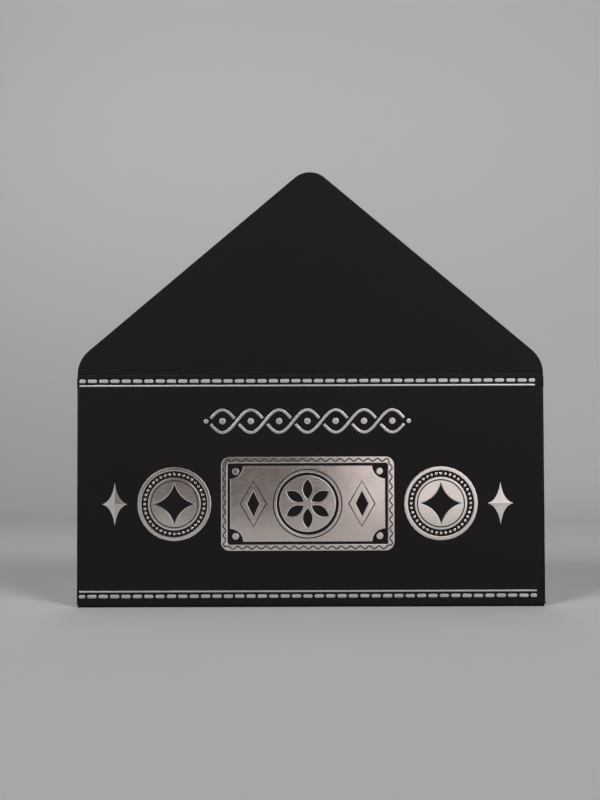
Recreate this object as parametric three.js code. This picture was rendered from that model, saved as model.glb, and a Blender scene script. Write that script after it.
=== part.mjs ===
import * as THREE from 'three';

// A money envelope of black card with silver foil, standing with its pointed flap open.
// Millimetres. X runs to the right seen from the front, the front faces -Y, and Z is up.
// The origin is on the ground, under the middle of the envelope.

// Layers of the folded card
const cardThickness = 0.4;
const pocketGap = 0.8; // between the front panel and a side tab
const glueThickness = 0.1;

// Front panel and the folds along its edges
const envelopeWidth = 165;
const creaseHeight = 82; // ground to the middle of the flap's crease
const bottomCornerRelief = 0.4; // how far the bottom fold stops short of the panel's side
const sideFoldRise = 2; // ground to the lower end of a side fold

// Scored crease between the front panel and the flap
const creaseStrip = 2;
const scoreWidth = 1;
const scoreDepth = 0.12;
const beadWidth = 1.3;
const beadHeight = 0.12;

// Flap
const flapSideInset = 0.15;
const flapHeight = 72; // crease to the rounded tip
const flapTipRadius = 8.2;
const flapShoulderRadius = 11.2;

// Side tabs and their glue
const glueWidth = 8;
const glueFoldGap = 3.5; // side fold to the glue
const glueEdgeGap = 2.5; // glue to the tab's inner edge
const glueEndGap = 3; // glue to the level where a tab's inner edge ends
const tabEndAngle = THREE.MathUtils.degToRad(20);
const tabMouthGap = 1; // pocket's mouth to the upper end of a side fold and its tab

// Back panel
const mouthDrop = 4; // crease to the pocket's mouth
const backSideTaper = 1.2; // how much each side leans in from the bottom fold to the mouth
const mouthCornerRadius = 4;

// Foil borders. The whole print sits a little to the left of the panel's middle.
const foilThickness = 0.05;
const printShift = -1.1;
const borderLine = 0.55;
const borderMargin = 2; // end of a border to the panel's side, before the print's shift
const topLineDrop = 3.95; // crease to the middle of the top line
const bottomLineRise = 5.6; // ground to the middle of the bottom line

// Foil banknote in the middle of the front
const noteDrop = 5.5; // middle of the space between the borders to the middle of the note
const noteHeight = 33;
const noteInnerRadius = 0.8; // rounding of the frame's inner corners
const noteFrameBand = 2.2;
const foilGap = 1; // bare card between neighbouring areas of one foil figure
const fieldBiteRadius = 4.5;
const cornerDotRadius = 1.2;
const cornerDotGap = 0.6; // dot to the edge of the bite that it sits in
const fieldBridge = 2.3; // foil left above and below the medallion's hole
const petalCount = 6;
const petalStart = 1.6; // middle of the medallion to the inner end of a petal
const petalWidth = 3.4;
const petalMargin = 1.4; // tip of a petal to the medallion's edge
const fieldLozengeWidth = 4.4;
const fieldLozengeHeight = 9;

// Foil coins beside the note and a star at each end of the row
const figureGap = 3.5; // bare card between the figures of the row
const rowEndMargin = 10; // end of the row to the panel's side
const coinRadius = 13;
const coinRimBand = 1.3;
const coinBeadTrack = 2.4; // bare ring between the coin's rim and its face
const coinStarMargin = 2; // point of the coin's star to the edge of its face
const coinStarWaist = 1.5;
const endStarWidth = 9;
const endStarHeight = 15;
const endStarWaist = 0.9;

// Foil braid of two interlaced strands above the note
const braidEyes = 7;
const braidEyeLength = 10;
const braidRise = 4; // middle of the braid to the crest of a strand
const braidLine = 0.9;
const braidUnderGap = 0.85; // crossing to the end of the strand that passes under
const braidDotRadius = 1.1;
const braidEndDotRadius = 0.8;

// Smoothness of the curves: half the steps of an arc, and the steps of a strand
const cornerSegments = 6;
const roundSegments = 16;
const dotSegments = 8;
const strandStepsPerEye = 12;

// Depth of each layer, from the front to the back
const envelopeDepth = 3 * cardThickness + pocketGap + glueThickness;
const frontFace = -envelopeDepth / 2;
const frontInside = frontFace + cardThickness;
const tabFront = frontInside + pocketGap;
const tabBack = tabFront + cardThickness;
const backInside = tabBack + glueThickness;
const backFace = backInside + cardThickness;

// Places that several pieces share
const halfWidth = envelopeWidth / 2;
const bottomFoldRadius = envelopeDepth / 2;
const sideFoldInner = pocketGap / 2;
const sideFoldOuter = sideFoldInner + cardThickness;
const foldLine = halfWidth - sideFoldOuter; // where a side fold leaves the front panel
const foldBottom = sideFoldRise;
const mouthHeight = creaseHeight - mouthDrop;
const foldTop = mouthHeight - tabMouthGap;
const panelTop = creaseHeight - creaseStrip / 2;
const flapBottom = creaseHeight + creaseStrip / 2;
const flapHalfWidth = halfWidth - flapSideInset;
const backHalfWidth = halfWidth - bottomCornerRelief;
const tabWidth = glueFoldGap + glueWidth + glueEdgeGap;
const tabEndRise = tabWidth * Math.tan(tabEndAngle);
const topLineHeight = creaseHeight - topLineDrop;

const card = new THREE.MeshStandardMaterial({ color: 0x1d1c1e, roughness: 0.75, metalness: 0 });
const foil = new THREE.MeshStandardMaterial({ color: 0xbfb8ae, roughness: 0.28, metalness: 1 });
const glue = new THREE.MeshStandardMaterial({ color: 0xd9d2bd, roughness: 0.5, metalness: 0 });

function namedMesh(name, geometry, material) {
  const mesh = new THREE.Mesh(geometry, material);
  mesh.name = name;
  return mesh;
}

function extrude(outline, depth, curveSegments = cornerSegments) {
  return new THREE.ExtrudeGeometry(outline, { depth, bevelEnabled: false, curveSegments });
}

// A sheet drawn in the front view. It reaches from its back forwards by its thickness.
function sheet(name, outline, back, thickness, material, segments) {
  const mesh = namedMesh(name, extrude(outline, thickness, segments), material);
  mesh.rotation.x = Math.PI / 2;
  mesh.position.y = back;
  return mesh;
}

// A strip along X, drawn by its section in Y and Z.
function strip(name, section, length, material) {
  const geometry = extrude(section, length);
  geometry.translate(0, 0, -length / 2);
  const mesh = namedMesh(name, geometry, material);
  const alongY = new THREE.Vector3(0, 1, 0);
  const alongZ = new THREE.Vector3(0, 0, 1);
  const alongX = new THREE.Vector3(1, 0, 0);
  mesh.setRotationFromMatrix(new THREE.Matrix4().makeBasis(alongY, alongZ, alongX));
  return mesh;
}

function polygon(points) {
  return new THREE.Shape(points.map(([x, y]) => new THREE.Vector2(x, y)));
}

function rectangle(left, bottom, right, top) {
  return polygon([[left, bottom], [right, bottom], [right, top], [left, top]]);
}

function disc(x, y, radius) {
  return new THREE.Shape().absarc(x, y, radius, 0, 2 * Math.PI);
}

function roundedRectangle(x, y, width, height, radius) {
  const right = width / 2 - radius;
  const top = height / 2 - radius;
  const shape = new THREE.Shape();
  shape.absarc(x + right, y - top, radius, -Math.PI / 2, 0);
  shape.absarc(x + right, y + top, radius, 0, Math.PI / 2);
  shape.absarc(x - right, y + top, radius, Math.PI / 2, Math.PI);
  shape.absarc(x - right, y - top, radius, Math.PI, 1.5 * Math.PI);
  shape.closePath();
  return shape;
}

// A star of four points whose sides bend in towards its waist.
function fourPointStar(x, y, width, height, waist) {
  const star = new THREE.Shape();
  star.moveTo(x + width / 2, y);
  star.quadraticCurveTo(x + waist, y + waist, x, y + height / 2);
  star.quadraticCurveTo(x - waist, y + waist, x - width / 2, y);
  star.quadraticCurveTo(x - waist, y - waist, x, y - height / 2);
  star.quadraticCurveTo(x + waist, y - waist, x + width / 2, y);
  return star;
}

// The front panel is as wide as the envelope, and set in along each side fold.
function frontPanel() {
  const rightSide = [
    [halfWidth, bottomFoldRadius],
    [halfWidth, foldBottom],
    [foldLine, foldBottom],
    [foldLine, foldTop],
    [halfWidth, foldTop],
    [halfWidth, panelTop],
  ];
  const leftSide = rightSide.map(([x, y]) => [-x, y]).reverse();
  return sheet('front_panel', polygon([...rightSide, ...leftSide]), frontInside, cardThickness, card);
}

// The bottom fold is half a tube that joins the front panel to the back panel.
function bottomFold() {
  const section = new THREE.Shape();
  section.absarc(0, bottomFoldRadius, bottomFoldRadius, Math.PI, 2 * Math.PI);
  section.absarc(0, bottomFoldRadius, bottomFoldRadius - cardThickness, 2 * Math.PI, Math.PI, true);
  section.closePath();
  return strip('bottom_fold', section, 2 * backHalfWidth, card);
}

// A side fold turns back round the pocket's gap, from the front panel to the tab behind it.
function sideFold(name, side) {
  const middle = frontInside + sideFoldInner;
  const start = -Math.PI / 2;
  const end = side > 0 ? Math.PI / 2 : -1.5 * Math.PI;
  const section = new THREE.Shape();
  section.absarc(side * foldLine, middle, sideFoldOuter, start, end, side < 0);
  section.absarc(side * foldLine, middle, sideFoldInner, end, start, side > 0);
  section.closePath();
  const mesh = namedMesh(name, extrude(section, foldTop - foldBottom), card);
  mesh.position.z = foldBottom;
  return mesh;
}

// A side tab has slanted ends, so that it slips in behind the front panel.
function sideTab(name, side) {
  const inner = side * (foldLine - tabWidth);
  const outline = polygon([
    [side * foldLine, foldBottom],
    [side * foldLine, foldTop],
    [inner, foldTop - tabEndRise],
    [inner, foldBottom + tabEndRise],
  ]);
  return sheet(name, outline, tabBack, cardThickness, card);
}

function glueStrip(name, side) {
  const outer = side * (foldLine - glueFoldGap);
  const inner = outer - side * glueWidth;
  const bottom = foldBottom + tabEndRise + glueEndGap;
  const top = foldTop - tabEndRise - glueEndGap;
  return sheet(name, rectangle(inner, bottom, outer, top), backInside, glueThickness, glue);
}

// The back panel leans in a little towards the pocket's mouth, where its corners are rounded.
function backPanel() {
  const mouthHalfWidth = backHalfWidth - backSideTaper;
  const lean = Math.atan2(backSideTaper, mouthHeight - bottomFoldRadius);
  const cornerReach = mouthCornerRadius * Math.tan((Math.PI / 2 - lean) / 2);
  const centre = mouthHalfWidth - cornerReach;
  const height = mouthHeight - mouthCornerRadius;
  const outline = new THREE.Shape();
  outline.moveTo(-backHalfWidth, bottomFoldRadius);
  outline.lineTo(backHalfWidth, bottomFoldRadius);
  outline.absarc(centre, height, mouthCornerRadius, lean, Math.PI / 2);
  outline.absarc(-centre, height, mouthCornerRadius, Math.PI / 2, Math.PI - lean);
  outline.closePath();
  return sheet('back_panel', outline, backFace, cardThickness, card);
}

// The crease strip is scored in front, and the score stands out as a bead behind.
function flapCrease() {
  const section = new THREE.Shape();
  section.moveTo(frontFace, panelTop);
  section.lineTo(frontInside, panelTop);
  section.lineTo(frontInside, creaseHeight - beadWidth / 2);
  section.quadraticCurveTo(
    frontInside + 2 * beadHeight, creaseHeight, frontInside, creaseHeight + beadWidth / 2);
  section.lineTo(frontInside, flapBottom);
  section.lineTo(frontFace, flapBottom);
  section.lineTo(frontFace, creaseHeight + scoreWidth / 2);
  section.quadraticCurveTo(
    frontFace + 2 * scoreDepth, creaseHeight, frontFace, creaseHeight - scoreWidth / 2);
  section.closePath();
  return strip('flap_crease', section, 2 * flapHalfWidth, card);
}

// The flap's outline is the line that runs round two shoulder circles and a tip circle.
function topFlap() {
  const shoulderX = flapHalfWidth - flapShoulderRadius;
  const tipRise = flapHeight - flapTipRadius;
  const spread = Math.hypot(shoulderX, tipRise);
  const radiusDifference = flapShoulderRadius - flapTipRadius;
  const slopeNormal = Math.atan2(tipRise, -shoulderX) - Math.acos(radiusDifference / spread);
  const start = Math.asin((flapBottom - creaseHeight) / flapShoulderRadius);
  const outline = new THREE.Shape();
  outline.absarc(shoulderX, creaseHeight, flapShoulderRadius, start, slopeNormal);
  outline.absarc(0, creaseHeight + tipRise, flapTipRadius, slopeNormal, Math.PI - slopeNormal);
  outline.absarc(-shoulderX, creaseHeight, flapShoulderRadius, Math.PI - slopeNormal, Math.PI - start);
  outline.closePath();
  return sheet('top_flap', outline, frontInside, cardThickness, card);
}

function foilFigure(name, outline, segments) {
  return sheet(name, outline, frontFace, foilThickness, foil, segments);
}

function foilDot(name, x, y, radius) {
  return foilFigure(name, disc(x, y, radius), dotSegments);
}

function borderFoil(name, height) {
  const end = halfWidth - borderMargin;
  return foilFigure(name, rectangle(-end, height - borderLine / 2, end, height + borderLine / 2));
}

// Where the figures stand. The note fills what the coins and stars leave of the row.
const bordersMiddle = (bottomLineRise + topLineHeight) / 2;
const rowHeight = bordersMiddle - noteDrop;
const starX = halfWidth - rowEndMargin - endStarWidth / 2;
const coinX = starX - endStarWidth / 2 - figureGap - coinRadius;
const noteWidth = 2 * (coinX - coinRadius - figureGap);
const noteTop = rowHeight + noteHeight / 2;
const braidHeight = (noteTop + topLineHeight) / 2;
const braidHalfLength = (braidEyes * braidEyeLength) / 2;

function noteFrame() {
  const outerRadius = noteInnerRadius + noteFrameBand;
  const bands = 2 * noteFrameBand;
  const frame = roundedRectangle(0, rowHeight, noteWidth, noteHeight, outerRadius);
  frame.holes.push(roundedRectangle(0, rowHeight, noteWidth - bands, noteHeight - bands, noteInnerRadius));
  return foilFigure('note_frame', frame);
}

const fieldHalfWidth = noteWidth / 2 - noteFrameBand - foilGap;
const fieldHalfHeight = noteHeight / 2 - noteFrameBand - foilGap;
const medallionHole = fieldHalfHeight - fieldBridge;

// The note's field has a round bite at each corner, a round hole for the medallion
// and a lozenge cut out on each side of it.
function noteField() {
  const bottom = rowHeight - fieldHalfHeight;
  const top = rowHeight + fieldHalfHeight;
  const field = new THREE.Shape();
  field.absarc(fieldHalfWidth, bottom, fieldBiteRadius, Math.PI, Math.PI / 2, true);
  field.absarc(fieldHalfWidth, top, fieldBiteRadius, 1.5 * Math.PI, Math.PI, true);
  field.absarc(-fieldHalfWidth, top, fieldBiteRadius, 2 * Math.PI, 1.5 * Math.PI, true);
  field.absarc(-fieldHalfWidth, bottom, fieldBiteRadius, Math.PI / 2, 0, true);
  field.closePath();
  field.holes.push(disc(0, rowHeight, medallionHole));
  const lozengeX = (medallionHole + fieldHalfWidth) / 2;
  for (const x of [-lozengeX, lozengeX]) {
    field.holes.push(polygon([
      [x - fieldLozengeWidth / 2, rowHeight],
      [x, rowHeight - fieldLozengeHeight / 2],
      [x + fieldLozengeWidth / 2, rowHeight],
      [x, rowHeight + fieldLozengeHeight / 2],
    ]));
  }
  return foilFigure('note_field', field, roundSegments);
}

function noteCornerDots() {
  const inset = (fieldBiteRadius - cornerDotGap - cornerDotRadius) * Math.SQRT1_2;
  const x = fieldHalfWidth - inset;
  const y = fieldHalfHeight - inset;
  const places = [[-x, y], [x, y], [-x, -y], [x, -y]];
  return places.map(([dotX, dotY], index) =>
    foilDot(`note_corner_dot_${index + 1}`, dotX, rowHeight + dotY, cornerDotRadius));
}

// The medallion is a disc with a flower of pointed petals cut out of it.
function noteMedallion() {
  const medallionRadius = medallionHole - foilGap;
  const petalEnd = medallionRadius - petalMargin;
  const medallion = disc(0, rowHeight, medallionRadius);
  for (let i = 0; i < petalCount; i += 1) {
    const angle = (2 * Math.PI * i) / petalCount;
    const along = new THREE.Vector2(Math.sin(angle), Math.cos(angle));
    const across = new THREE.Vector2(along.y, -along.x).multiplyScalar(petalWidth);
    const centre = new THREE.Vector2(0, rowHeight);
    const start = centre.clone().addScaledVector(along, petalStart);
    const end = centre.clone().addScaledVector(along, petalEnd);
    const middle = start.clone().lerp(end, 0.5);
    const petal = new THREE.Path();
    petal.moveTo(start.x, start.y);
    petal.quadraticCurveTo(middle.x + across.x, middle.y + across.y, end.x, end.y);
    petal.quadraticCurveTo(middle.x - across.x, middle.y - across.y, start.x, start.y);
    medallion.holes.push(petal);
  }
  return foilFigure('note_medallion', medallion, roundSegments);
}

function coinRim(name, x) {
  const rim = disc(x, rowHeight, coinRadius);
  rim.holes.push(disc(x, rowHeight, coinRadius - coinRimBand));
  return foilFigure(name, rim, roundSegments);
}

// The coin's face is a disc with a star of four points cut out of it.
function coinFace(name, x) {
  const faceRadius = coinRadius - coinRimBand - coinBeadTrack;
  const starSpan = 2 * (faceRadius - coinStarMargin);
  const face = disc(x, rowHeight, faceRadius);
  face.holes.push(fourPointStar(x, rowHeight, starSpan, starSpan, coinStarWaist));
  return foilFigure(name, face, roundSegments);
}

// A stretch of a strand that rises and falls along the braid, from one X to another.
function strandOutline(start, end, sign) {
  const wave = Math.PI / braidEyeLength;
  const steps = Math.ceil(((end - start) / braidEyeLength) * strandStepsPerEye);
  const upper = [];
  const lower = [];
  for (let i = 0; i <= steps; i += 1) {
    const x = start + ((end - start) * i) / steps;
    const phase = wave * (x + braidHalfLength);
    const y = braidHeight + sign * braidRise * Math.sin(phase);
    const slope = Math.atan(sign * braidRise * wave * Math.cos(phase));
    const offsetX = -Math.sin(slope) * (braidLine / 2);
    const offsetY = Math.cos(slope) * (braidLine / 2);
    upper.push([x + offsetX, y + offsetY]);
    lower.push([x - offsetX, y - offsetY]);
  }
  return polygon([...lower, ...upper.reverse()]);
}

// The two strands take turns to pass under, and each is broken where it does.
function braidStrands() {
  const meshes = [];
  const crossing = (index) => index * braidEyeLength - braidHalfLength;
  for (const [sign, firstUnder] of [[1, 1], [-1, 2]]) {
    const breaks = [0];
    for (let index = firstUnder; index < braidEyes; index += 2) {
      breaks.push(index);
    }
    breaks.push(braidEyes);
    for (let i = 0; i + 1 < breaks.length; i += 1) {
      const start = crossing(breaks[i]) + braidUnderGap;
      const end = crossing(breaks[i + 1]) - braidUnderGap;
      const name = `braid_strand_${meshes.length + 1}`;
      meshes.push(foilFigure(name, strandOutline(start, end, sign)));
    }
  }
  return meshes;
}

// A dot in each eye of the braid, and a smaller one past each end.
function braidDots() {
  const meshes = [];
  for (let i = 0; i < braidEyes; i += 1) {
    const x = (i + 0.5) * braidEyeLength - braidHalfLength;
    meshes.push(foilDot(`braid_dot_${i + 1}`, x, braidHeight, braidDotRadius));
  }
  for (const [name, side] of [['left_braid_end_dot', -1], ['right_braid_end_dot', 1]]) {
    const x = side * (braidHalfLength + braidEndDotRadius);
    meshes.push(foilDot(name, x, braidHeight, braidEndDotRadius));
  }
  return meshes;
}

const body = new THREE.Group();
body.add(frontPanel(), backPanel(), bottomFold(), flapCrease());

const flap = new THREE.Group();
flap.add(topFlap());

const print = new THREE.Group();
print.position.x = printShift;
print.add(borderFoil('top_foil_line', topLineHeight));
print.add(borderFoil('bottom_foil_line', bottomLineRise));
print.add(noteFrame(), noteField(), noteMedallion(), ...noteCornerDots());
print.add(...braidStrands(), ...braidDots());

for (const [hand, side] of [['left', -1], ['right', 1]]) {
  body.add(sideFold(`${hand}_side_fold`, side));
  body.add(sideTab(`${hand}_side_tab`, side));
  body.add(glueStrip(`${hand}_glue_strip`, side));
  print.add(coinRim(`${hand}_coin_rim`, side * coinX));
  print.add(coinFace(`${hand}_coin_face`, side * coinX));
  const star = fourPointStar(side * starX, rowHeight, endStarWidth, endStarHeight, endStarWaist);
  print.add(foilFigure(`${hand}_end_star`, star));
}

const envelope = new THREE.Group();
envelope.add(body, flap, print);

export default envelope;
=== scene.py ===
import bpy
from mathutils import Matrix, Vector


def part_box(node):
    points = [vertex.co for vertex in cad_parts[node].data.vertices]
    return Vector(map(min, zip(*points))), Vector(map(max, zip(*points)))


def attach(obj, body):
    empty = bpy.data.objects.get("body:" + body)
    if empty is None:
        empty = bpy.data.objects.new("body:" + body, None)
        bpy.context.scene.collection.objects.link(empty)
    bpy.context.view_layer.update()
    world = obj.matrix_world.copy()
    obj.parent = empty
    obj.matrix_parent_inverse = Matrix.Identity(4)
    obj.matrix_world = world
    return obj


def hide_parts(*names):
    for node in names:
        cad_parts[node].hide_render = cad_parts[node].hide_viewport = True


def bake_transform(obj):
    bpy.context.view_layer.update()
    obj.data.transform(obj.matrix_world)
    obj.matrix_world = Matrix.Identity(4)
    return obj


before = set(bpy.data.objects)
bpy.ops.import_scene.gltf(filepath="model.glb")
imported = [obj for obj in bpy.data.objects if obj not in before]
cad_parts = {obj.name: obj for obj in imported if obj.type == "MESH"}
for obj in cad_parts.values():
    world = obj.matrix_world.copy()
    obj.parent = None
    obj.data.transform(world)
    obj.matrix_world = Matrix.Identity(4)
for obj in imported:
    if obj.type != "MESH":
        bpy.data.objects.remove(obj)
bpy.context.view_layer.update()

import math

import bmesh
import bpy
from mathutils import Matrix, Vector

mm = 0.001
scene = bpy.context.scene
scene.view_settings.view_transform = "Standard"


# Node helpers: a wire carries one value, and a board adds nodes to one tree
def plugIn(tree, socket, value):
    if isinstance(value, list):  # several wires into one socket
        for wire in value:
            tree.links.new(wire.socket, socket)
    elif isinstance(value, Wire):
        tree.links.new(value.socket, socket)
    else:
        socket.default_value = value


class Wire:
    def __init__(self, tree, socket):
        self.tree = tree
        self.socket = socket

    def reckon(self, operation, first, second):
        return Board(self.tree).add("ShaderNodeMath", {"operation": operation}, {0: first, 1: second})

    def __add__(self, other):
        return self.reckon("ADD", self, other)

    def __sub__(self, other):
        return self.reckon("SUBTRACT", self, other)

    def __rsub__(self, other):
        return self.reckon("SUBTRACT", other, self)

    def __mul__(self, other):
        return self.reckon("MULTIPLY", self, other)

    def __truediv__(self, other):
        return self.reckon("DIVIDE", self, other)

    def __rtruediv__(self, other):
        return self.reckon("DIVIDE", other, self)

    def __lt__(self, other):
        return self.reckon("LESS_THAN", self, other)

    def __gt__(self, other):
        return self.reckon("GREATER_THAN", self, other)

    __radd__ = __add__
    __rmul__ = __mul__


class Board:
    def __init__(self, tree):
        self.tree = tree

    def add(self, kind, settings=None, sockets=None, out=0):
        node = self.tree.nodes.new(kind)
        for name, value in (settings or {}).items():
            setattr(node, name, value)
        for key, value in (sockets or {}).items():
            plugIn(self.tree, node.inputs[key], value)
        if isinstance(out, tuple):  # several outputs at once
            return [Wire(self.tree, node.outputs[name]) for name in out]
        return Wire(self.tree, node.outputs[out]) if node.outputs else None

    def noise(self, place, scale, detail=2.0, roughness=0.5):  # spreads evenly round 0.5
        sockets = {"Vector": place, "Scale": scale, "Detail": detail, "Roughness": roughness}
        return self.add("ShaderNodeTexNoise", None, sockets)

    def step(self, value, low, high):  # 0 below low, 1 above high
        sockets = {"Value": value, "From Min": low, "From Max": high}
        return self.add("ShaderNodeMapRange", {"interpolation_type": "SMOOTHSTEP"}, sockets)

    def mixColour(self, share, first, second):
        sockets = {0: share, 6: first, 7: second}
        return self.add("ShaderNodeMix", {"data_type": "RGBA"}, sockets, out=2)

    def bump(self, height, distance, strength):
        sockets = {"Height": height, "Distance": distance, "Strength": strength}
        return self.add("ShaderNodeBump", None, sockets)


def startFinish(name, fixed):
    material = bpy.data.materials.new(name)
    material.use_nodes = True
    tree = material.node_tree
    shader = tree.nodes["Principled BSDF"]
    for socket, value in fixed.items():
        shader.inputs[socket].default_value = value
    return material, Board(tree), shader


# Finishes
cardLook = {
    "ink": (0.0026, 0.0021, 0.0027, 1),
    "inkPale": (0.0043, 0.0036, 0.0044, 1),
    "rubbed": (0.030, 0.029, 0.030, 1),
    "core": (0.016, 0.0155, 0.0165, 1),  # seen on the cut edges
    "specular": 0.08,
    "roughness": 0.49,
    "smudgeRough": 0.16,  # how far the roughness swings
    "fibreRough": 0.10,
    "fibreNoise": (3200, 3.0, 0.6),  # scale per metre, detail, roughness
    "mottleNoise": (260, 3.0),
    "smudgeNoise": (34, 4.0),
    "fibreShare": 0.4,  # of the ink's unevenness, the rest is mottle
    "rubReach": (0.25 * mm, 0.7 * mm),  # off the crease, where the rubbing starts to fade and ends
    "rubPatches": (0.42, 0.62),
    "rubShare": 0.12,
    "grainHeight": 0.010 * mm,
    "grainStrength": 0.5,
}


def softTouchCard(creaseHeight):
    look = cardLook
    material, board, shader = startFinish("soft_touch_card", {"Specular IOR Level": look["specular"]})
    tree = board.tree
    flat = board.add("ShaderNodeAttribute", {"attribute_name": "flatPlace"}, out="Vector")
    fibre = board.noise(flat, *look["fibreNoise"])
    mottle = board.noise(flat, *look["mottleNoise"])
    smudge = board.noise(flat, *look["smudgeNoise"])
    up = board.add("ShaderNodeSeparateXYZ", None, {"Vector": flat}, out="Z")
    offCrease = board.add("ShaderNodeMath", {"operation": "ABSOLUTE"}, {0: up - creaseHeight})
    patches = board.step(mottle, *look["rubPatches"]) * look["rubShare"]
    rub = (1 - board.step(offCrease, *look["rubReach"])) * patches
    uneven = mottle * (1 - look["fibreShare"]) + fibre * look["fibreShare"]
    ink = board.mixColour(uneven, look["ink"], look["inkPale"])
    cut = board.add("ShaderNodeAttribute", {"attribute_name": "cutEdge"}, out="Fac")
    colour = board.mixColour(cut, board.mixColour(rub, ink, look["rubbed"]), look["core"])
    plugIn(tree, shader.inputs["Base Color"], colour)
    rough = look["roughness"] + (smudge - 0.5) * look["smudgeRough"] + (fibre - 0.5) * look["fibreRough"]
    plugIn(tree, shader.inputs["Roughness"], rough)
    bump = board.bump(fibre, look["grainHeight"], look["grainStrength"])
    plugIn(tree, shader.inputs["Normal"], bump)
    return material


foilLook = {
    "silver": (0.80, 0.755, 0.71, 1),
    "rose": (0.75, 0.65, 0.615, 1),
    "rim": (0.78, 0.75, 0.73, 1),
    "worn": (0.20, 0.18, 0.165, 1),
    "border": (0.385, 0.376, 0.385, 1),
    "roughness": 0.13,
    "satinRough": 0.25,  # added where the foil is satin
    "rimRough": 0.07,
    "wornRough": 0.3,
    "waveRough": 0.08,  # how far the roughness swings
    "hairRough": 0.12,
    "tintScale": 22,  # per metre
    "tintStep": (0.35, 0.65),
    "waveScale": 160,
    "waveHeight": 0.03 * mm,
    "waveStrength": 0.6,
    "hairScale": (220.0, 1.0, 2600.0),  # fine rubbing marks along X
    "hairHeight": 0.05,  # shares of the wave's height
    "grainHeight": 0.10,
    "grainScale": 900,
    "speckScale": 2600,
    "speckStep": (0.70, 0.78),
    "speckPatches": (0.50, 0.62),
    "speckShare": 0.8,
}


def stampedFoil():
    look = foilLook
    material, board, shader = startFinish("stamped_foil", {"Metallic": 1.0})
    tree = board.tree
    place = board.add("ShaderNodeTexCoord", out="Object")
    hair = board.add("ShaderNodeMapping", None, {"Vector": place, "Scale": look["hairScale"]})
    hairs = board.noise(hair, 1.0)
    speck = board.noise(place, look["speckScale"])
    wave = board.noise(place, look["waveScale"])
    tint = board.noise(place, look["tintScale"])
    rim = board.add("ShaderNodeAttribute", {"attribute_name": "rim"}, out="Fac")
    satin = board.add("ShaderNodeAttribute", {"attribute_name": "satin"}, out="Fac")
    worn = board.step(speck, *look["speckStep"]) * board.step(wave, *look["speckPatches"])
    silver = board.mixColour(board.step(tint, *look["tintStep"]), look["silver"], look["rose"])
    edged = board.mixColour(rim, silver, look["rim"])
    toned = board.mixColour(satin, edged, look["border"])
    colour = board.mixColour(worn * look["speckShare"], toned, look["worn"])
    plugIn(tree, shader.inputs["Base Color"], colour)
    swing = (hairs - 0.5) * look["hairRough"] + (wave - 0.5) * look["waveRough"]
    added = worn * look["wornRough"] + rim * look["rimRough"] + satin * look["satinRough"]
    plugIn(tree, shader.inputs["Roughness"], look["roughness"] + swing + added)
    grain = board.noise(place, look["grainScale"])
    height = (wave + hairs * look["hairHeight"] + grain * look["grainHeight"]) * (1 - rim)
    bump = board.bump(height, look["waveHeight"], look["waveStrength"])
    plugIn(tree, shader.inputs["Normal"], bump)
    return material


glueLook = {
    "dark": (0.62, 0.57, 0.44, 1),
    "pale": (0.76, 0.72, 0.60, 1),
    "specular": 0.5,
    "roughness": 0.32,
    "blotchRough": 0.3,
    "blotchNoise": (420, 3.0),  # scale per metre, detail
    "rippleScale": 1500,
    "rippleHeight": 0.04 * mm,
    "rippleStrength": 0.5,
}


def driedGlue():
    look = glueLook
    material, board, shader = startFinish("dried_glue", {"Specular IOR Level": look["specular"]})
    tree = board.tree
    place = board.add("ShaderNodeTexCoord", out="Object")
    blotch = board.noise(place, *look["blotchNoise"])
    ripple = board.noise(place, look["rippleScale"])
    colour = board.mixColour(blotch, look["dark"], look["pale"])
    plugIn(tree, shader.inputs["Base Color"], colour)
    plugIn(tree, shader.inputs["Roughness"], look["roughness"] + blotch * look["blotchRough"])
    bump = board.bump(ripple, look["rippleHeight"], look["rippleStrength"])
    plugIn(tree, shader.inputs["Normal"], bump)
    return material


paperLook = {
    "colour": (0.393, 0.399, 0.407),
    "specular": 0.2,
    "roughness": 0.8,
    "toothRough": 0.1,
    "toothScale": 900,  # per metre
    "toothTone": 0.03,  # darker and paler than the colour by this share
}


def greyPaper():
    look = paperLook
    material, board, shader = startFinish("grey_sweep_paper", {"Specular IOR Level": look["specular"]})
    tree = board.tree
    place = board.add("ShaderNodeTexCoord", out="Object")
    tooth = board.noise(place, look["toothScale"])
    dark = [(1 - look["toothTone"]) * part for part in look["colour"]]
    pale = [(1 + look["toothTone"]) * part for part in look["colour"]]
    plugIn(tree, shader.inputs["Base Color"], board.mixColour(tooth, (*dark, 1), (*pale, 1)))
    plugIn(tree, shader.inputs["Roughness"], look["roughness"] + tooth * look["toothRough"])
    return material


# Mesh helpers
weldGap = 0.0001 * mm  # points this close are one
facing = 0.9  # a face whose normal has this much Y looks along Y


def newPiece(name, mesh, material):
    mesh.materials.clear()
    mesh.materials.append(material)
    piece = bpy.data.objects.new(name, mesh)
    scene.collection.objects.link(piece)
    return piece


def plainMesh(piece):  # the evaluated shape as a plain mesh, with the modifiers gone
    evaluated = piece.evaluated_get(bpy.context.evaluated_depsgraph_get())
    mesh = bpy.data.meshes.new_from_object(evaluated)
    piece.modifiers.clear()
    piece.data = mesh
    return piece


def arcPoints(x, y, radius, start, end, steps):
    turns = [start + (end - start) * i / steps for i in range(steps + 1)]
    return [(x + radius * math.cos(turn), y + radius * math.sin(turn)) for turn in turns]


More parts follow.
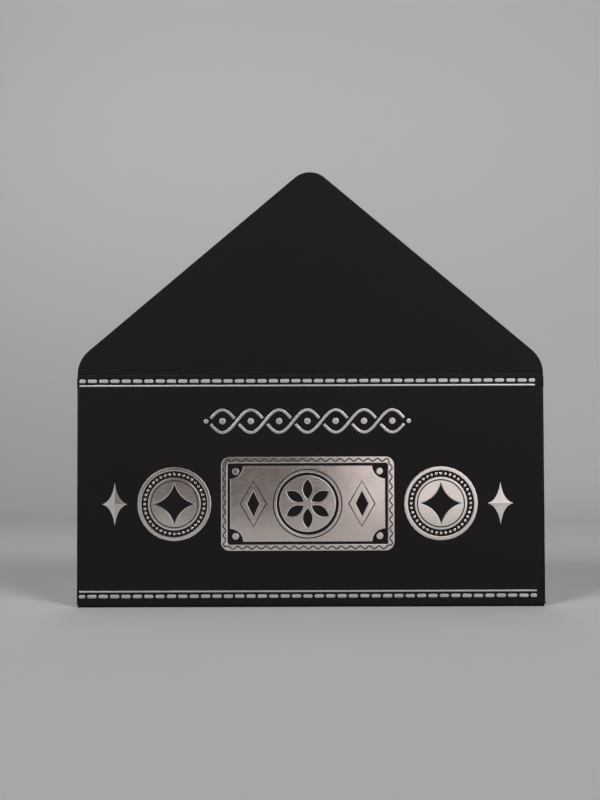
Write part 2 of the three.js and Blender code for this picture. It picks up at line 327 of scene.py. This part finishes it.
# The card: one die-cut blank, drawn flat as X and the length up the sheet, then folded
blank = {
    "tipRadius": 8.2 * mm,
    "shoulderRadius": 11.2 * mm,
    "tabEndAngle": math.radians(20),
    "mouthTaper": 1.2 * mm,
    "mouthRadius": 4 * mm,
    "slit": 0.04 * mm,  # cut between a side fold and the panel's own edge
    "scoreWidth": 0.9 * mm,
    "scoreDepth": 0.05 * mm,
    "beadWidth": 1.3 * mm,
    "beadHeight": 0.12 * mm,
    "cutRounding": 0.05 * mm,
    "cutSegments": 2,
    "creaseReach": 1.25 * mm,  # how far either side of the crease the blank is cut into rows
    "smoothReach": 1.32 * mm,  # how far from the crease the faces are shaded smooth
    "sharpAngle": math.radians(50),
    "creaseRows": 25,
    "foldRows": 14,
    "flapSteps": 20,  # along each of the flap's rounded corners
    "mouthSteps": 10,
}
panelLow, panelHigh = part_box("front_panel")
creaseLow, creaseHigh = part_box("flap_crease")
foldLow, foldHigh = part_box("right_side_fold")
backLow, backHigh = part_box("back_panel")
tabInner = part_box("right_side_tab")[0].x
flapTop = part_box("top_flap")[1].z
cardThickness = panelHigh.y - panelLow.y
frontFace = panelLow.y
creaseHeight = (creaseLow.z + creaseHigh.z) / 2
foldLine = foldLow.x
foldRadius = (foldHigh.y - foldLow.y) / 2
foldMiddle = (foldHigh.y + foldLow.y) / 2
foldLength = math.pi * (foldRadius - cardThickness / 2)
bottomRadius = panelLow.z
bottomLength = math.pi * (bottomRadius - cardThickness / 2)


def flapEdge():  # right half of the flap, from the middle of its tip down to the crease
    shoulderX = creaseHigh.x - blank["shoulderRadius"]
    tipRise = flapTop - creaseHeight - blank["tipRadius"]
    slack = (blank["shoulderRadius"] - blank["tipRadius"]) / math.hypot(shoulderX, tipRise)
    slope = math.atan2(tipRise, -shoulderX) - math.acos(slack)
    steps = blank["flapSteps"]
    tip = arcPoints(0, creaseHeight + tipRise, blank["tipRadius"], math.pi / 2, slope, steps)
    return tip + arcPoints(shoulderX, creaseHeight, blank["shoulderRadius"], slope, 0, steps)


def sideEdge():  # the panel's side with its tab laid out flat
    slit = blank["slit"]
    tabStart = foldLine + foldLength
    tabEnd = tabStart + foldLine - tabInner
    rise = (tabEnd - tabStart) * math.tan(blank["tabEndAngle"])
    return [
        (creaseHigh.x, panelHigh.z),
        (panelHigh.x, panelHigh.z),
        (panelHigh.x, foldHigh.z + slit),
        (foldLine, foldHigh.z + slit),
        (foldLine, foldHigh.z),
        (tabStart, foldHigh.z),
        (tabEnd, foldHigh.z - rise),
        (tabEnd, foldLow.z + rise),
        (tabStart, foldLow.z),
        (foldLine, foldLow.z),
        (foldLine, foldLow.z - slit),
        (panelHigh.x, foldLow.z - slit),
        (panelHigh.x, bottomRadius),
    ]


def backEdge():  # the back panel hangs below the bottom fold on the flat blank
    start = bottomRadius - bottomLength
    mouth = start - (backHigh.z - backLow.z)
    radius = blank["mouthRadius"]
    lean = math.atan2(blank["mouthTaper"], start - mouth)
    centre = backHigh.x - blank["mouthTaper"] - radius * math.tan((math.pi / 2 - lean) / 2)
    corner = arcPoints(centre, mouth + radius, radius, -lean, -math.pi / 2, blank["mouthSteps"])
    return [(backHigh.x, bottomRadius), (backHigh.x, start)] + corner


def foldedPlace(x, depth, along):  # where a point of the flat blank comes to lie
    side = math.copysign(1, x)
    reach = abs(x) - foldLine
    if reach > 0 and foldLow.z - blank["slit"] / 2 < along < foldHigh.z + blank["slit"] / 2:
        turn = min(reach / foldLength, 1) * math.pi
        radius = foldRadius - depth
        across = foldLine + radius * math.sin(turn) - max(reach - foldLength, 0)
        return side * across, foldMiddle - radius * math.cos(turn), along
    if along >= bottomRadius:
        offCrease = abs(along - creaseHeight)
        score = max(0, 1 - (2 * offCrease / blank["scoreWidth"]) ** 2) * blank["scoreDepth"]
        bead = max(0, 1 - (2 * offCrease / blank["beadWidth"]) ** 2) * blank["beadHeight"]
        share = depth / cardThickness
        return x, frontFace + depth + score * (1 - share) + bead * share, along
    reach = bottomRadius - along
    turn = min(reach / bottomLength, 1) * math.pi
    radius = bottomRadius - depth
    rise = max(reach - bottomLength, 0) - radius * math.sin(turn)
    return x, -radius * math.cos(turn), bottomRadius + rise


def spaced(start, end, count):
    return [start + (end - start) * i / count for i in range(count + 1)]


def foldedBlank(material):
    right = flapEdge() + sideEdge() + backEdge()
    left = [(-x, along) for x, along in reversed(right) if x > weldGap]
    bm = bmesh.new()
    bm.faces.new([bm.verts.new((x, 0, along)) for x, along in right + left])
    reach = blank["creaseReach"]
    levels = spaced(creaseHeight - reach, creaseHeight + reach, blank["creaseRows"])
    levels += spaced(bottomRadius, bottomRadius - bottomLength, blank["foldRows"])
    across = spaced(foldLine, foldLine + foldLength, blank["foldRows"])
    cuts = [(Vector((0, 0, level)), Vector((0, 0, 1))) for level in levels]
    cuts += [(Vector((side * x, 0, 0)), Vector((1, 0, 0))) for x in across for side in (-1, 1)]
    for place, normal in cuts:
        parts = bm.verts[:] + bm.edges[:] + bm.faces[:]
        bmesh.ops.bisect_plane(bm, geom=parts, dist=weldGap, plane_co=place, plane_no=normal)
    made = bmesh.ops.extrude_face_region(bm, geom=bm.faces[:])["geom"]
    inner = [part for part in made if isinstance(part, bmesh.types.BMVert)]
    bmesh.ops.translate(bm, verts=inner, vec=(0, cardThickness, 0))
    bmesh.ops.recalc_face_normals(bm, faces=bm.faces[:])
    rims = [edge for edge in bm.edges if edge.calc_face_angle(0) > blank["sharpAngle"]
            and abs(edge.verts[0].co.y - edge.verts[1].co.y) < cardThickness / 2]
    bmesh.ops.bevel(bm, geom=rims, offset=blank["cutRounding"], segments=blank["cutSegments"],
                    profile=0.5, affect="EDGES")
    mesh = bpy.data.meshes.new("card_blank")
    for face in bm.faces:
        middle = face.calc_center_median()
        onTab = abs(middle.x) > foldLine
        onCrease = abs(middle.z - creaseHeight) < blank["smoothReach"]
        onBottom = bottomRadius - bottomLength < middle.z < bottomRadius
        face.smooth = onTab or onCrease or onBottom
    for edge in bm.edges:
        edge.smooth = edge.calc_face_angle(0) < blank["sharpAngle"]
    edgeFaces = [float(abs(face.normal.y) < facing) for face in bm.faces]
    bm.to_mesh(mesh)
    bm.free()
    cut = mesh.attributes.new("cutEdge", "FLOAT", "FACE")
    cut.data.foreach_set("value", edgeFaces)
    flat = mesh.attributes.new("flatPlace", "FLOAT_VECTOR", "POINT")
    for vertex, value in zip(mesh.vertices, flat.data):
        value.vector = vertex.co
        vertex.co = foldedPlace(*vertex.co)
    piece = newPiece("card_blank", mesh, material)
    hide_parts("front_panel", "back_panel", "bottom_fold", "left_side_fold", "right_side_fold",
                "left_side_tab", "right_side_tab", "flap_crease", "top_flap")
    middle = (panelLow.y + panelHigh.y) / 2
    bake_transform(piece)
    return piece


# Foil figures: the frame's own outlines, with a rim that rolls down to the card
lineNodes = ["top_foil_line", "bottom_foil_line"]
noteNodes = ["note_frame", "note_field", "note_medallion"]
noteNodes += [f"note_corner_dot_{i}" for i in range(1, 5)]
coinNodes = [f"{side}_coin_{part}" for side in ("left", "right") for part in ("rim", "face")]
braidNodes = [f"braid_strand_{i}" for i in range(1, 9)] + [f"braid_dot_{i}" for i in range(1, 8)]
braidNodes += ["left_braid_end_dot", "right_braid_end_dot"]
foilFigures = {
    "foil_border_lines": {"nodes": lineNodes, "rim": 0.18 * mm, "satin": 1.0},
    "foil_note": {"nodes": noteNodes, "rim": 0.26 * mm, "satin": 0.0},
    "foil_coins": {"nodes": coinNodes, "rim": 0.26 * mm, "satin": 0.0},
    "foil_braid": {"nodes": braidNodes, "rim": 0.20 * mm, "satin": 0.55},
}
foilRim = {
    "foot": 0.033 * mm,  # height that the outline is let down to
    "blunt": 0.45,  # keeps the inner corner of a sharp point from running off
    "slack": 0.001 * mm,  # in finding the top by its height
    "smoothFaces": (0.5, 0.999),  # least and most Y in the normal of a smooth face
}
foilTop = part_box("note_frame")[0].y


def loopCount(edges):
    left = set(edges)
    count = 0
    while left:
        count += 1
        trail = [left.pop()]
        while trail:
            found = {edge for vert in trail.pop().verts for edge in vert.link_edges} & left
            left -= found
            trail += found
    return count


def rollRim(bm, width):  # draws the top in from its outline and lets the outline down to the card
    lowest = foilTop + foilRim["slack"]
    top = {face for face in bm.faces if all(vert.co.y < lowest for vert in face.verts)}
    outline = []
    sides = {}
    for edge in bm.edges:
        walls = [face for face in edge.link_faces if face not in top]
        if len(walls) == 1:
            inward = Vector((-walls[0].normal.x, 0, -walls[0].normal.z)).normalized()
            outline.append(tuple(edge.verts))
            for vert in edge.verts:
                sides.setdefault(vert, []).append(inward)
    bmesh.ops.delete(bm, geom=list(top), context="FACES_KEEP_BOUNDARY")
    inner = {}
    for vert, (first, second) in sides.items():
        step = (first + second) * width / max(1 + first.dot(second), foilRim["blunt"])
        inner[vert] = bm.verts.new(vert.co + step)
    for vert in sides:
        vert.co.y = frontFace - foilRim["foot"]
    lip = []
    for one, two in outline:
        bm.faces.new((one, two, inner[two], inner[one]))
        lip.append(bm.edges.get((inner[one], inner[two])))
    if loopCount(lip) == 1:
        bmesh.ops.holes_fill(bm, edges=lip, sides=0)
    else:
        bmesh.ops.triangle_fill(bm, use_beauty=True, use_dissolve=False, edges=lip)
    bmesh.ops.recalc_face_normals(bm, faces=bm.faces[:])


def foilFinished(piece, nodes, shareSatin):  # marks rims, grooves and satin, and seats the piece
    mesh = piece.data
    drop = frontFace - foilRim["foot"] - foilTop
    rim = mesh.attributes.new("rim", "FLOAT", "POINT")
    for vertex, value in zip(mesh.vertices, rim.data):
        value.value = min(max((vertex.co.y - foilTop) / drop, 0), 1)
    satin = mesh.attributes.new("satin", "FLOAT", "POINT")
    for value in satin.data:
        value.value = shareSatin
    least, most = foilRim["smoothFaces"]
    for face in mesh.polygons:
        face.use_smooth = least < abs(face.normal.y) < most
    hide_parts(*nodes)
    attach(piece, "envelope_body")
    return piece


def foilFigure(name, figure, material, grooves=()):
    whole = bmesh.new()
    for node in figure["nodes"]:
        bm = bmesh.new()
        bm.from_mesh(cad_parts[node].data)
        bmesh.ops.remove_doubles(bm, verts=bm.verts[:], dist=weldGap)
        rollRim(bm, figure["rim"])
        part = bpy.data.meshes.new(node)
        bm.to_mesh(part)
        bm.free()
        whole.from_mesh(part)
        bpy.data.meshes.remove(part)
    mesh = bpy.data.meshes.new(name)
    whole.to_mesh(mesh)
    whole.free()
    piece = newPiece(name, mesh, material)
    if grooves:
        engrave(piece, grooves)
    return foilFinished(piece, figure["nodes"], figure["satin"])


# Engraved lines: V-shaped grooves along closed paths, cut through the foil's top
groove = {
    "width": 0.50 * mm,
    "depth": 0.16 * mm,
    "overshoot": 0.04 * mm,  # of the cutter above the foil
    "ringSteps": 72,
}


def engrave(piece, paths):
    bm = bmesh.new()
    for path in paths:
        sections = []
        spots = [Vector((x, 0, z)) for x, z in path]
        for i, here in enumerate(spots):
            before = here - spots[i - 1]
            after = spots[(i + 1) % len(spots)] - here
            along = (before.normalized() + after.normalized()).normalized()
            across = Vector((along.z, 0, -along.x)) * groove["width"] / 2
            across *= 1 + groove["overshoot"] / groove["depth"]
            upper = Vector((0, foilTop - groove["overshoot"], 0))
            lower = Vector((0, foilTop + groove["depth"], 0))
            corners = (upper - across, upper + across, lower)
            sections.append([bm.verts.new(here + corner) for corner in corners])
        for one, two in zip(sections, sections[1:] + sections[:1]):
            for j in range(3):
                bm.faces.new((one[j], one[(j + 1) % 3], two[(j + 1) % 3], two[j]))
    bmesh.ops.recalc_face_normals(bm, faces=bm.faces[:])
    mesh = bpy.data.meshes.new("groove_cutter")
    bm.to_mesh(mesh)
    bm.free()
    cutter = bpy.data.objects.new("groove_cutter", mesh)
    scene.collection.objects.link(cutter)
    cut = piece.modifiers.new("engrave", "BOOLEAN")
    cut.operation = "DIFFERENCE"
    cut.solver = "EXACT"
    cut.object = cutter
    plainMesh(piece)
    bpy.data.objects.remove(cutter)


def ringPath(centre, radius):
    steps = groove["ringSteps"]
    return arcPoints(centre.x, centre.z, radius, 0, 2 * math.pi * (steps - 1) / steps, steps - 1)


noteLines = {
    "waveLength": 3.3 * mm,
    "waveRise": 0.48 * mm,
    "wavePoints": 10,  # per wave
    "band": 2.2 * mm,
    "corner": 1.9 * mm,  # radius of the wave's way round a corner
    "cornerSteps": 12,
    "holeGap": 1.0 * mm,  # medallion to the edge of its hole
    "ringGap": 1.1 * mm,
    "lozengeReach": (4.6 * mm, 8.0 * mm),  # half width and half height
}
coinLines = {"inset": 1.0 * mm}  # edge of a coin's face to its groove


def wavePath(low, high):  # a wave that runs round the middle of the note's frame
    inset = noteLines["band"] / 2
    corner = noteLines["corner"]
    left, right = low.x + inset, high.x - inset
    bottom, top = low.z + inset, high.z - inset
    turns = [(right - corner, top - corner, 0), (left + corner, top - corner, 1),
             (left + corner, bottom + corner, 2), (right - corner, bottom + corner, 3)]
    spine = []
    for x, z, quarter in turns:
        start = quarter * math.pi / 2
        spine += arcPoints(x, z, corner, start, start + math.pi / 2, noteLines["cornerSteps"])
    lengths = [math.dist(spine[i - 1], spine[i]) for i in range(len(spine))]
    total = sum(lengths)
    waves = round(total / noteLines["waveLength"])
    count = waves * noteLines["wavePoints"]
    path = []
    i, passed = 0, 0.0
    for step in range(count):
        wanted = total * step / count
        while passed + lengths[(i + 1) % len(spine)] < wanted:
            i += 1
            passed += lengths[i]
        a, b = Vector(spine[i]), Vector(spine[(i + 1) % len(spine)])
        along = (b - a).normalized()
        share = (wanted - passed) / max(lengths[(i + 1) % len(spine)], weldGap)
        rise = noteLines["waveRise"] * math.sin(2 * math.pi * waves * step / count)
        spot = a.lerp(b, share) + rise * Vector((-along.y, along.x))
        path.append(tuple(spot))
    return path


def noteGrooves():
    low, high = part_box("note_frame")
    centre = (low + high) / 2
    medallionLow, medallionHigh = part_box("note_medallion")
    hole = (medallionHigh.x - medallionLow.x) / 2 + noteLines["holeGap"]
    fieldLow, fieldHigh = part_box("note_field")
    paths = [wavePath(low, high), ringPath(centre, hole + noteLines["ringGap"])]
    reachX, reachZ = noteLines["lozengeReach"]
    for x in ((fieldLow.x + centre.x - hole) / 2, (fieldHigh.x + centre.x + hole) / 2):
        z = centre.z
        paths.append([(x + reachX, z), (x, z + reachZ), (x - reachX, z), (x, z - reachZ)])
    return paths


def coinGrooves():
    paths = []
    for side in ("left", "right"):
        low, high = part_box(f"{side}_coin_face")
        paths.append(ringPath((low + high) / 2, (high.x - low.x) / 2 - coinLines["inset"]))
    return paths


# End stars: faceted, with a ridge along each arm
endStar = {"peak": 0.11 * mm, "satin": 0.0}


def facetedStar(name, node, material):
    bm = bmesh.new()
    bm.from_mesh(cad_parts[node].data)
    bmesh.ops.remove_doubles(bm, verts=bm.verts[:], dist=weldGap)
    top = [face for face in bm.faces if face.normal.y < -facing]
    bmesh.ops.dissolve_faces(bm, faces=top)
    lid = next(face for face in bm.faces if face.normal.y < -facing)
    low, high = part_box(node)
    for vert in lid.verts:
        vert.co.y = frontFace - foilRim["foot"]
    peak = bmesh.ops.poke(bm, faces=[lid])["verts"][0]
    peak.co = ((low.x + high.x) / 2, frontFace - endStar["peak"], (low.z + high.z) / 2)
    mesh = bpy.data.meshes.new(name)
    bm.to_mesh(mesh)
    bm.free()
    piece = foilFinished(newPiece(name, mesh, material), [node], endStar["satin"])
    for face in piece.data.polygons:
        face.use_smooth = False
    return piece


# Geometry Nodes: an empty tree with named inputs, and a piece grown by one
def startTree(name, inputs):
    tree = bpy.data.node_groups.new(name, "GeometryNodeTree")
    tree.interface.new_socket("Geometry", in_out="OUTPUT", socket_type="NodeSocketGeometry")
    for label, kind in inputs.items():
        tree.interface.new_socket(label, in_out="INPUT", socket_type="NodeSocket" + kind)
    board = Board(tree)
    given = dict(zip(inputs, board.add("NodeGroupInput", out=tuple(inputs))))
    return tree, board, given


def endTree(board, geometry, finish):
    real = board.add("GeometryNodeRealizeInstances", None, {"Geometry": geometry})
    dressed = board.add("GeometryNodeSetMaterial", None, {"Geometry": real, "Material": finish})
    board.add("NodeGroupOutput", None, {"Geometry": dressed})


def grownPiece(name, tree, values):
    piece = newPiece(name, bpy.data.meshes.new(name), values["Finish"])
    grow = piece.modifiers.new("grow", "NODES")
    grow.node_group = tree
    for item in tree.interface.items_tree:
        if item.in_out == "INPUT":
            grow[item.identifier] = values[item.name]
    return plainMesh(piece)


# Stitches: a row of pressed foil capsules beside each border line, the end ones shorter
stitches = {
    "pitch": 4.0 * mm,
    "inner": 39,  # full stitches between the two short ones
    "length": 3.25 * mm,
    "endLength": 2.2 * mm,
    "height": 1.18 * mm,
    "proud": 0.016 * mm,
    "rim": 0.74,  # top of a stitch as a share of its foot
    "fillet": 0.47,  # radius of the rounded ends as a share of the height
    "filletSteps": 5,
    "weld": 0.001 * mm,
    "tilt": math.radians(0.4),
    "topDrop": 2.3 * mm,  # crease to the middle of the top row
    "bottomRise": 3.9 * mm,
    "seed": 7,
}


def stitchTree():
    tree, board, given = startTree("stitch_row", {
        "Start": "Vector", "Pitch": "Float", "Count": "Int", "Length": "Float", "End Length": "Float",
        "Height": "Float", "Proud": "Float", "Rim": "Float", "Tilt": "Float", "Seed": "Int",
        "Finish": "Material"})
    stride = board.add("ShaderNodeCombineXYZ", None, {"X": given["Pitch"]})
    row = board.add("GeometryNodeMeshLine", {"mode": "OFFSET"},
                    {"Count": given["Count"], "Start Location": given["Start"], "Offset": stride})
    index = board.add("GeometryNodeInputIndex")
    first = index < 0.5
    last = index > given["Count"] - 1.5
    nudge = (given["Length"] - given["End Length"]) * 0.5 * (first - last)
    shift = board.add("ShaderNodeCombineXYZ", None, {"X": nudge})
    placed = board.add("GeometryNodeSetPosition", None, {"Geometry": row, "Offset": shift})
    outline = board.add("GeometryNodeCurvePrimitiveQuadrilateral", None,
                        {"Width": given["Length"], "Height": given["Height"]})
    rounded = board.add("GeometryNodeFilletCurve", {"mode": "POLY"},
                        {"Curve": outline, "Count": stitches["filletSteps"],
                         "Radius": given["Height"] * stitches["fillet"], "Limit Radius": True})
    foot = board.add("GeometryNodeFillCurve", {"mode": "NGONS"}, {"Curve": rounded})
    raised, top = board.add("GeometryNodeExtrudeMesh", None,
                            {"Mesh": foot, "Offset Scale": given["Proud"]}, out=("Mesh", "Top"))
    narrowed = board.add("GeometryNodeScaleElements", None,
                         {"Geometry": raised, "Selection": top, "Scale": given["Rim"]})
    under = board.add("GeometryNodeFlipFaces", None, {"Mesh": foot})
    joined = board.add("GeometryNodeJoinGeometry", None, {"Geometry": [narrowed, under]})
    stitch = board.add("GeometryNodeMergeByDistance", None,
                       {"Geometry": joined, "Distance": stitches["weld"]})
    place = board.add("GeometryNodeInputPosition")
    up = board.add("ShaderNodeSeparateXYZ", None, {"Vector": place}, out="Z")
    for mark, value in (("rim", 1 - up / given["Proud"]), ("satin", 1.0)):
        stitch = board.add("GeometryNodeStoreNamedAttribute", {"data_type": "FLOAT", "domain": "POINT"},
                           {"Geometry": stitch, "Name": mark, "Value": value})
    low = board.add("ShaderNodeCombineXYZ", None, {"X": given["Tilt"] * -1, "Y": given["Tilt"] * -1})
    high = board.add("ShaderNodeCombineXYZ", None, {"X": given["Tilt"], "Y": given["Tilt"]})
    lean = board.add("FunctionNodeRandomValue", {"data_type": "FLOAT_VECTOR"},
                     {0: low, 1: high, "Seed": given["Seed"]})
    upright = board.add("ShaderNodeVectorMath", {"operation": "ADD"}, {0: lean, 1: (math.pi / 2, 0, 0)})
    short = 1 - (first + last) * (1 - given["End Length"] / given["Length"])
    size = board.add("ShaderNodeCombineXYZ", None, {"X": short, "Y": 1.0, "Z": 1.0})
    sewn = board.add("GeometryNodeInstanceOnPoints", None,
                     {"Points": placed, "Instance": stitch, "Rotation": upright, "Scale": size})
    endTree(board, sewn, given["Finish"])
    return tree


def stitchRow(name, tree, height, seed, finish):
    span = (stitches["inner"] + 1) * stitches["pitch"]
    low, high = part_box("top_foil_line")
    middle = (low.x + high.x) / 2
    piece = grownPiece(name, tree, {
        "Start": (middle - span / 2, frontFace, height), "Pitch": stitches["pitch"],
        "Count": stitches["inner"] + 2, "Length": stitches["length"], "End Length": stitches["endLength"],
        "Height": stitches["height"], "Proud": stitches["proud"], "Rim": stitches["rim"],
        "Tilt": stitches["tilt"], "Seed": seed, "Finish": finish})
    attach(piece, "envelope_body")
    return piece


# Beads: a ring of small foil domes between each coin's rim and its face
coinBeads = {
    "count": 40,
    "radius": 0.52 * mm,
    "proud": 0.035 * mm,
    "segments": 12,
    "rings": 6,
    "rimWidth": 1.3 * mm,  # of the coin's rim, which the beads lie inside
}


def beadTree():
    tree, board, given = startTree("coin_beads", {
        "Centre": "Vector", "Ring": "Float", "Count": "Int", "Radius": "Float", "Proud": "Float",
        "Finish": "Material"})
    ring = board.add("GeometryNodeMeshCircle", None,
                     {"Vertices": given["Count"], "Radius": given["Ring"]})
    dome = board.add("GeometryNodeMeshUVSphere", None,
                     {"Segments": coinBeads["segments"], "Rings": coinBeads["rings"],
                      "Radius": given["Radius"]})
    flat = board.add("ShaderNodeCombineXYZ", None,
                     {"X": 1.0, "Y": 1.0, "Z": given["Proud"] / given["Radius"]})
    squat = board.add("GeometryNodeTransform", None, {"Geometry": dome, "Scale": flat})
    beads = board.add("GeometryNodeInstanceOnPoints", None, {"Points": ring, "Instance": squat})
    stood = board.add("GeometryNodeTransform", None,
                      {"Geometry": beads, "Translation": given["Centre"], "Rotation": (math.pi / 2, 0, 0)})
    endTree(board, stood, given["Finish"])
    return tree


def beadRing(side, tree, finish):
    rimLow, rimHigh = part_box(f"{side}_coin_rim")
    faceLow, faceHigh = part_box(f"{side}_coin_face")
    outer = (rimHigh.x - rimLow.x) / 2 - coinBeads["rimWidth"]
    ring = (outer + (faceHigh.x - faceLow.x) / 2) / 2
    centre = (rimLow + rimHigh) / 2
    piece = grownPiece(f"{side}_coin_beads", tree, {
        "Centre": (centre.x, frontFace, centre.z), "Ring": ring, "Count": coinBeads["count"],
        "Radius": coinBeads["radius"], "Proud": coinBeads["proud"], "Finish": finish})
    for face in piece.data.polygons:
        face.use_smooth = True
    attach(piece, "envelope_body")
    return piece


# Studio
camera = {
    "frameWidth": 212.15 * mm,  # width of the picture at the front panel
    "distance": 500 * mm,
    "aim": (-3.68 * mm, 72.9 * mm),
    "lookUp": math.radians(2.15),
    "roll": math.radians(-0.18),
    "aspect": 800 / 600,
    "sensor": 36,
    "nearest": 0.01,
}


def addCamera():
    lens = bpy.data.cameras.new("camera")
    lens.sensor_width = camera["sensor"]
    lens.lens = camera["sensor"] * camera["distance"] / (camera["frameWidth"] * camera["aspect"])
    lens.clip_start = camera["nearest"]
    holder = bpy.data.objects.new("camera", lens)
    scene.collection.objects.link(holder)
    forward = Vector((0, math.cos(camera["lookUp"]), math.sin(camera["lookUp"])))
    aim = Vector((camera["aim"][0], frontFace, camera["aim"][1]))
    turn = forward.to_track_quat("-Z", "Y").to_matrix().to_4x4()
    turn = turn @ Matrix.Rotation(camera["roll"], 4, "Z")
    holder.matrix_world = Matrix.Translation(aim - camera["distance"] * forward) @ turn
    scene.camera = holder


sweep = {"halfWidth": 2.2, "front": -0.75, "wall": 1.25, "curve": 0.6, "height": 2.2, "steps": 24}


def addSweep():
    radius = sweep["curve"]
    curve = arcPoints(sweep["wall"] - radius, radius, radius, -math.pi / 2, 0, sweep["steps"])
    profile = [(sweep["front"], 0)] + curve + [(sweep["wall"], sweep["height"])]
    bm = bmesh.new()
    ends = (-sweep["halfWidth"], sweep["halfWidth"])
    rows = [[bm.verts.new((x, y, z)) for x in ends] for y, z in profile]
    for lower, upper in zip(rows, rows[1:]):
        bm.faces.new((lower[0], lower[1], upper[1], upper[0])).smooth = True
    mesh = bpy.data.meshes.new("grey_sweep")
    bm.to_mesh(mesh)
    bm.free()
    floor = newPiece("grey_sweep", mesh, greyPaper())


lamps = {  # a spread is the opening angle of the grid in front of the lamp
    "keyRight": {"place": (1.50, -2.40, 1.45), "aim": (0, 0.15, 0.05), "size": (1.10, 1.00), "power": 4.4,
                 "colour": (1, 0.99, 0.98), "spread": math.radians(38)},
    "keyLeft": {"place": (-1.54, -2.37, 1.48), "aim": (0, 0.15, 0.05), "size": (1.10, 1.00), "power": 4.4,
                "colour": (1, 0.99, 0.98), "spread": math.radians(38)},
    "cardRight": {"place": (0.402, -1.05, 0.20), "aim": (0, 0, 0.06), "size": (0.776, 0.80), "power": 1.56,
                  "colour": (1, 0.97, 0.98), "spread": math.pi},
    "cardLeft": {"place": (-0.57, -1.05, 0.20), "aim": (0, 0, 0.06), "size": (0.80, 0.80), "power": 0.7,
                 "colour": (1, 0.97, 0.9), "spread": math.pi},
    "overhead": {"place": (0, 0.60, 1.50), "aim": (0, -0.05, 0), "size": (2.0, 0.8), "power": 1.0,
                 "colour": (1, 1, 1), "spread": math.radians(70)},
    "wallTop": {"place": (0.30, 0.35, 1.70), "aim": (0.20, 1.25, 0.80), "size": (1.8, 0.5), "power": 3.75,
                "colour": (1, 1, 1), "spread": math.radians(44)},
    "wallRight": {"place": (-0.2, 0.2, 1.6), "aim": (0.5, 0.9, 0.03), "size": (0.6, 0.6), "power": 0.28,
                  "colour": (1, 1, 1), "spread": math.radians(26)},
    "rearRight": {"place": (0.80, 0.75, 0.42), "aim": (0, 0, 0.07), "size": (0.5, 0.5), "power": 0.06,
                  "colour": (1, 1, 1), "spread": math.radians(50)},
    "rearLeft": {"place": (-0.80, 0.75, 0.42), "aim": (0, 0, 0.07), "size": (0.5, 0.5), "power": 0.06,
                 "colour": (1, 1, 1), "spread": math.radians(50)},
    "backFill": {"place": (0, 0.55, 0.035), "aim": (0, 0, 0.085), "size": (0.16, 0.04), "power": 0.12,
                 "colour": (1, 1, 1), "spread": math.radians(28)},
}
roomLight = {"colour": (0.13, 0.118, 0.114), "strength": 1.0}


def addLamps():
    for name, lamp in lamps.items():
        light = bpy.data.lights.new(name, "AREA")
        light.shape = "RECTANGLE"
        light.size, light.size_y = lamp["size"]
        light.energy = lamp["power"]
        light.color = lamp["colour"]
        light.spread = lamp["spread"]
        holder = bpy.data.objects.new(name, light)
        scene.collection.objects.link(holder)
        place = Vector(lamp["place"])
        turn = (Vector(lamp["aim"]) - place).to_track_quat("-Z", "Y").to_matrix().to_4x4()
        holder.matrix_world = Matrix.Translation(place) @ turn
    world = bpy.data.worlds.new("room")
    world.use_nodes = True
    sky = world.node_tree.nodes["Background"]
    sky.inputs["Color"].default_value = (*roomLight["colour"], 1)
    sky.inputs["Strength"].default_value = roomLight["strength"]
    scene.world = world


addCamera()
addSweep()
addLamps()
print("studio: camera, sweep and", len(lamps), "lamps")

cardFinish = softTouchCard(creaseHeight)
foilFinish = stampedFoil()
glueFinish = driedGlue()

card = foldedBlank(cardFinish)
print("card:", len(card.data.vertices), "vertices")

grooves = {"foil_note": noteGrooves(), "foil_coins": coinGrooves()}
for name, figure in foilFigures.items():
    foilFigure(name, figure, foilFinish, grooves.get(name, ()))
for side in ("left", "right"):
    facetedStar(f"foil_{side}_star", f"{side}_end_star", foilFinish)
rowTree = stitchTree()
topRow = creaseHeight - stitches["topDrop"]
stitchRow("foil_top_stitches", rowTree, topRow, stitches["seed"], foilFinish)
stitchRow("foil_bottom_stitches", rowTree, stitches["bottomRise"], stitches["seed"] + 1, foilFinish)
ringTree = beadTree()
for side in ("left", "right"):
    beadRing(side, ringTree, foilFinish)
print("foil:", len(foilFigures), "groups of figures, two stitch rows and two rings of beads")

glueStrips = ("left_glue_strip", "right_glue_strip")
for node in glueStrips:
    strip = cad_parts[node].data
    strip.materials.clear()
    strip.materials.append(glueFinish)
print("glue:", len(glueStrips), "strips keep their solids")
